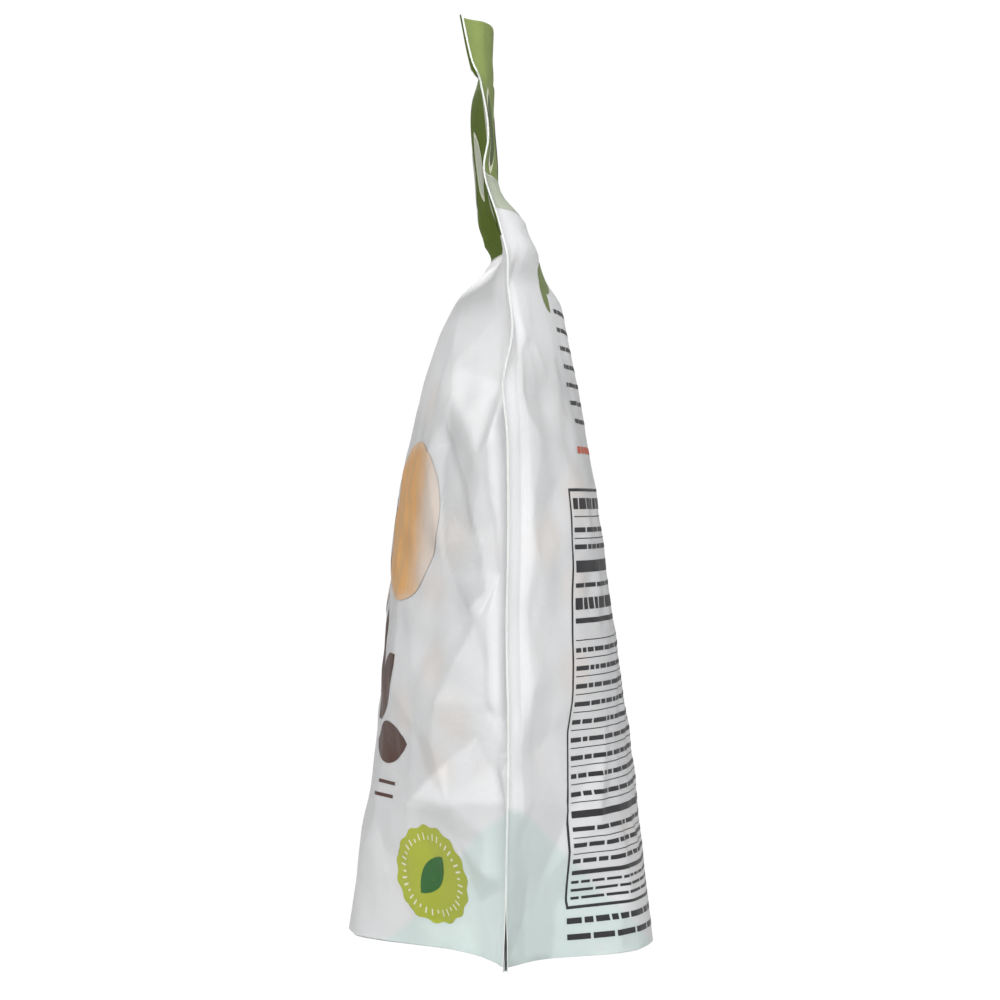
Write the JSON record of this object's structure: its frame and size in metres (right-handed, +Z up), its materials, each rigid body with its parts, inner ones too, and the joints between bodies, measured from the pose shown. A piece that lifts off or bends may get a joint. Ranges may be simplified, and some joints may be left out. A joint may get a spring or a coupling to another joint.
{
  "type": "filled stand-up zip pouch",
  "caption": "Sealed stand-up pouch of hazelnut kernels, with a zip strip under its header, tear notches and a folded base.",
  "frame": {"origin": "on the floor, at the middle of the flat part of the base", "axes": "+X towards one side seam, -Y is the front panel's side, +Z up the pouch"},
  "size_m": [0.1893, 0.0876, 0.25],
  "materials": {
    "front_film": "semi-matte white printed film",
    "back_film": "semi-matte white printed film",
    "gusset_film": "semi-matte pale green-white film",
    "zip_plastic": "translucent extruded plastic",
    "kernels": "dry brown kernel skin"
  },
  "bodies": {
    "root": {"front_panel": "front_film", "back_panel": "back_film", "bottom_gusset": "gusset_film", "zip_rib_strip": "zip_plastic", "zip_groove_strip": "zip_plastic", "hazelnuts": "kernels"}
  },
  "joints": []
}
